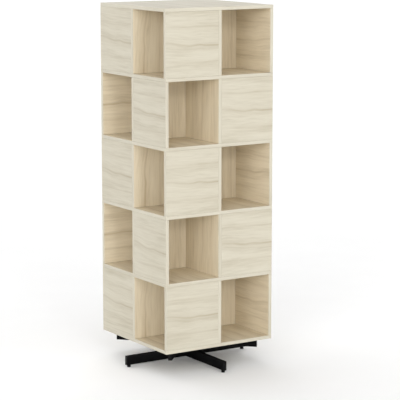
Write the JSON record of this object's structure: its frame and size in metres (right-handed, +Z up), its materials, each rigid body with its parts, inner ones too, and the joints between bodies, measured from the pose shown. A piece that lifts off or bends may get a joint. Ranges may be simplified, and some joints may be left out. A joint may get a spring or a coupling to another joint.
{
  "type": "rotary filing tower",
  "caption": "Square wooden tower of open binder compartments that turns as one column on a ball bearing between two crosses of black steel tube, on levelling glides.",
  "frame": {"origin": "on the floor, on the turning axis, at the middle of the four glides", "axes": "+Z up along the turning axis; +X to the right along the front face; +Y from the front face to the back"},
  "size_m": [0.76, 0.76, 1.9155],
  "materials": {
    "wood_decor": "pale wood-grain melamine on particle board with matching edge banding, satin",
    "black_steel": "black powder coat, fine texture, satin",
    "black_plastic": "moulded black plastic, matt",
    "bearing_steel": "bright bearing steel, lightly oiled"
  },
  "bodies": {
    "base": {"lower_cross": "black_steel", "lower_cap_front": "black_plastic", "lower_cap_right": "black_plastic", "lower_cap_back": "black_plastic", "lower_cap_left": "black_plastic", "bearing_lower_race": "bearing_steel"},
    "column": {"bottom_board": "wood_decor", "shelf_1": "wood_decor", "shelf_2": "wood_decor", "shelf_3": "wood_decor", "shelf_4": "wood_decor", "top_board": "wood_decor", "front_panel_1": "wood_decor", "right_panel_1": "wood_decor", "back_panel_1": "wood_decor", "left_panel_1": "wood_decor", "through_divider_1": "wood_decor", "half_divider_front_1": "wood_decor", "half_divider_back_1": "wood_decor", "front_panel_2": "wood_decor", "right_panel_2": "wood_decor", "back_panel_2": "wood_decor", "left_panel_2": "wood_decor", "through_divider_2": "wood_decor", "half_divider_front_2": "wood_decor", "half_divider_back_2": "wood_decor", "front_panel_3": "wood_decor", "right_panel_3": "wood_decor", "back_panel_3": "wood_decor", "left_panel_3": "wood_decor", "through_divider_3": "wood_decor", "half_divider_front_3": "wood_decor", "half_divider_back_3": "wood_decor", "front_panel_4": "wood_decor", "right_panel_4": "wood_decor", "back_panel_4": "wood_decor", "left_panel_4": "wood_decor", "through_divider_4": "wood_decor", "half_divider_front_4": "wood_decor", "half_divider_back_4": "wood_decor", "front_panel_5": "wood_decor", "right_panel_5": "wood_decor", "back_panel_5": "wood_decor", "left_panel_5": "wood_decor", "through_divider_5": "wood_decor", "half_divider_front_5": "wood_decor", "half_divider_back_5": "wood_decor", "upper_cross": "black_steel", "upper_cap_front_right": "black_plastic", "upper_cap_back_right": "black_plastic", "upper_cap_back_left": "black_plastic", "upper_cap_front_left": "black_plastic", "bearing_upper_race": "bearing_steel", "pivot_bolt": "bearing_steel", "pivot_nut": "bearing_steel"},
    "ball_cage": {"ball_cage": "bearing_steel"},
    "glide_front": {"glide_front": "black_plastic"},
    "glide_right": {"glide_right": "black_plastic"},
    "glide_back": {"glide_back": "black_plastic"},
    "glide_left": {"glide_left": "black_plastic"}
  },
  "joints": [
    {"name": "column_spin", "type": "hinge", "parent": "base", "child": "column", "pos_m": [0, 0, 0.0721], "axis": [0, 0, 1], "continuous": true},
    {"name": "ball_cage_spin", "type": "hinge", "parent": "base", "child": "ball_cage", "pos_m": [0, 0, 0.0721], "axis": [0, 0, 1], "continuous": true},
    {"name": "glide_front_height", "type": "slide", "parent": "base", "child": "glide_front", "axis": [0, 0, -1], "range_m": [0, 0.01]},
    {"name": "glide_right_height", "type": "slide", "parent": "base", "child": "glide_right", "axis": [0, 0, -1], "range_m": [0, 0.01]},
    {"name": "glide_back_height", "type": "slide", "parent": "base", "child": "glide_back", "axis": [0, 0, -1], "range_m": [0, 0.01]},
    {"name": "glide_left_height", "type": "slide", "parent": "base", "child": "glide_left", "axis": [0, 0, -1], "range_m": [0, 0.01]}
  ],
  "couplings": [
    {"joint": "ball_cage_spin", "follows": "column_spin", "ratio": 0.5}
  ]
}
